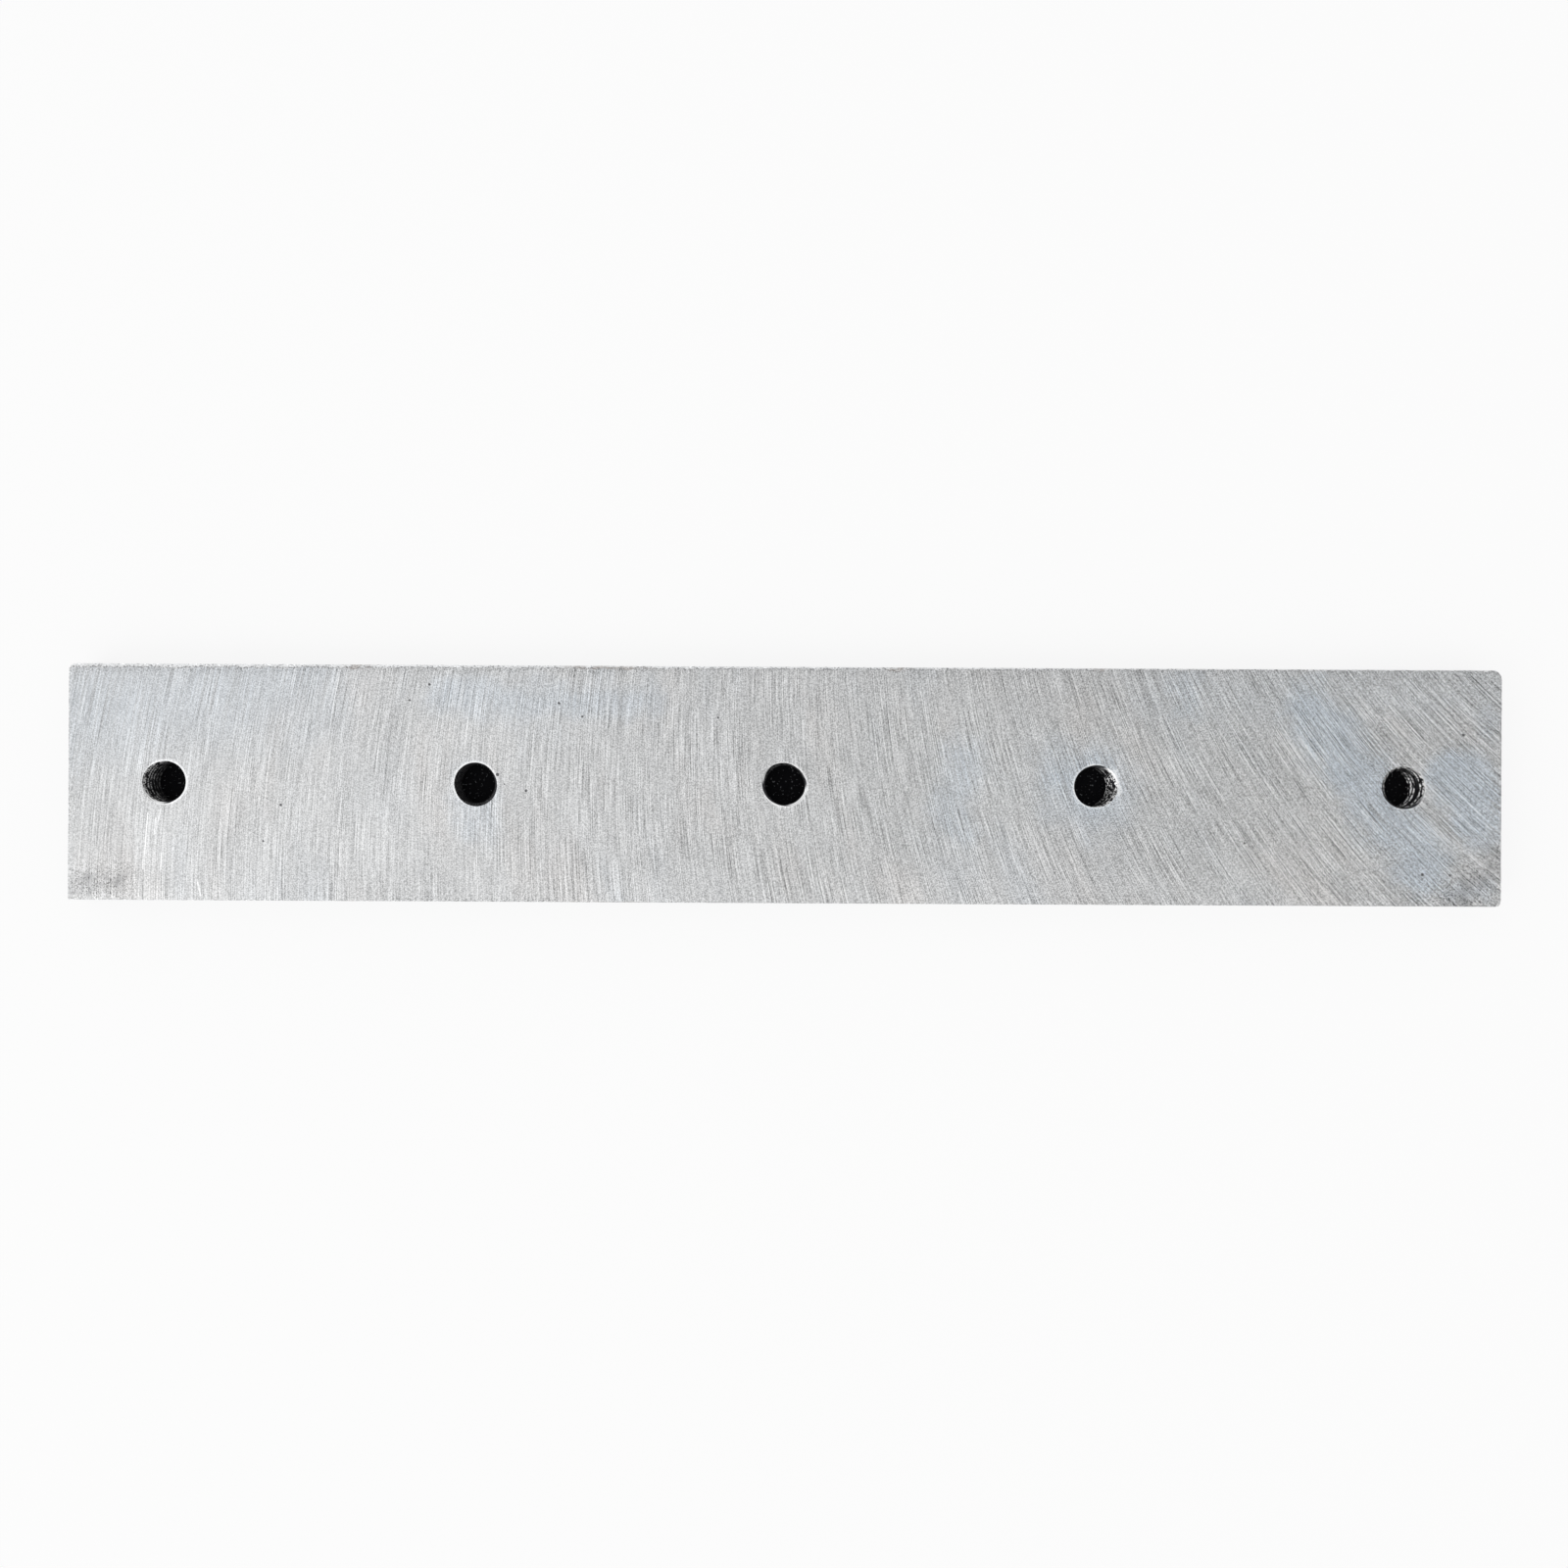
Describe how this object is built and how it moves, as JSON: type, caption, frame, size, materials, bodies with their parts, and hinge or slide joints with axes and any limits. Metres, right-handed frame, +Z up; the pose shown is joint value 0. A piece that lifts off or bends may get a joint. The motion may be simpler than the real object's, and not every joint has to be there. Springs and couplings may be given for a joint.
{
  "type": "counter knife bar",
  "caption": "Flat ground steel counter knife bar with a row of tapped fixing holes along its middle and long edges square for cutting.",
  "frame": {"origin": "middle of the underside, the face that the bar lies on", "axes": "+X along the bar's length, +Y across its width towards the worn long edge, +Z up through its thickness"},
  "size_m": [0.37, 0.061, 0.01],
  "materials": {
    "ground_steel": "face-ground, curved grinding marks"
  },
  "bodies": {
    "root": {"knife_bar": "ground_steel"}
  },
  "joints": []
}
